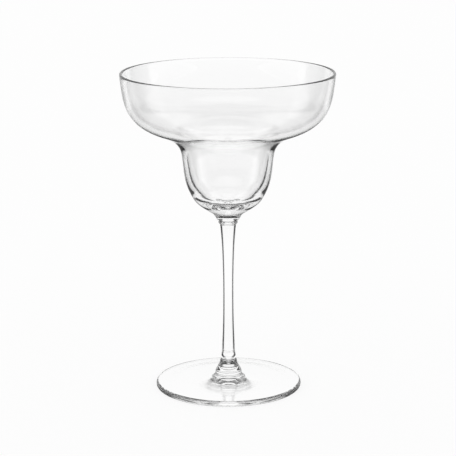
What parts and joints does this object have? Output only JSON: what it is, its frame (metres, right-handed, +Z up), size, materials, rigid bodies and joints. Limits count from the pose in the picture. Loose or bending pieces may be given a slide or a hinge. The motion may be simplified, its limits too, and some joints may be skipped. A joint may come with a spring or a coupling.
{
  "type": "margarita glass",
  "caption": "Clear margarita glass: a wide shallow basin over a rounded cup, on a slim solid stem with a flared top and a round disc foot.",
  "frame": {"origin": "middle of the flat resting face under the foot", "axes": "+Z up along the glass's axis, from the foot to the rim; X and Y are alike, because the glass is round"},
  "size_m": [0.116, 0.116, 0.1748],
  "materials": {
    "bowl_glass": "clear, fire polished",
    "stem_glass": "clear, fire polished",
    "foot_glass": "clear, fire polished"
  },
  "bodies": {
    "root": {"bowl": "bowl_glass", "stem": "stem_glass", "foot": "foot_glass"}
  },
  "joints": []
}
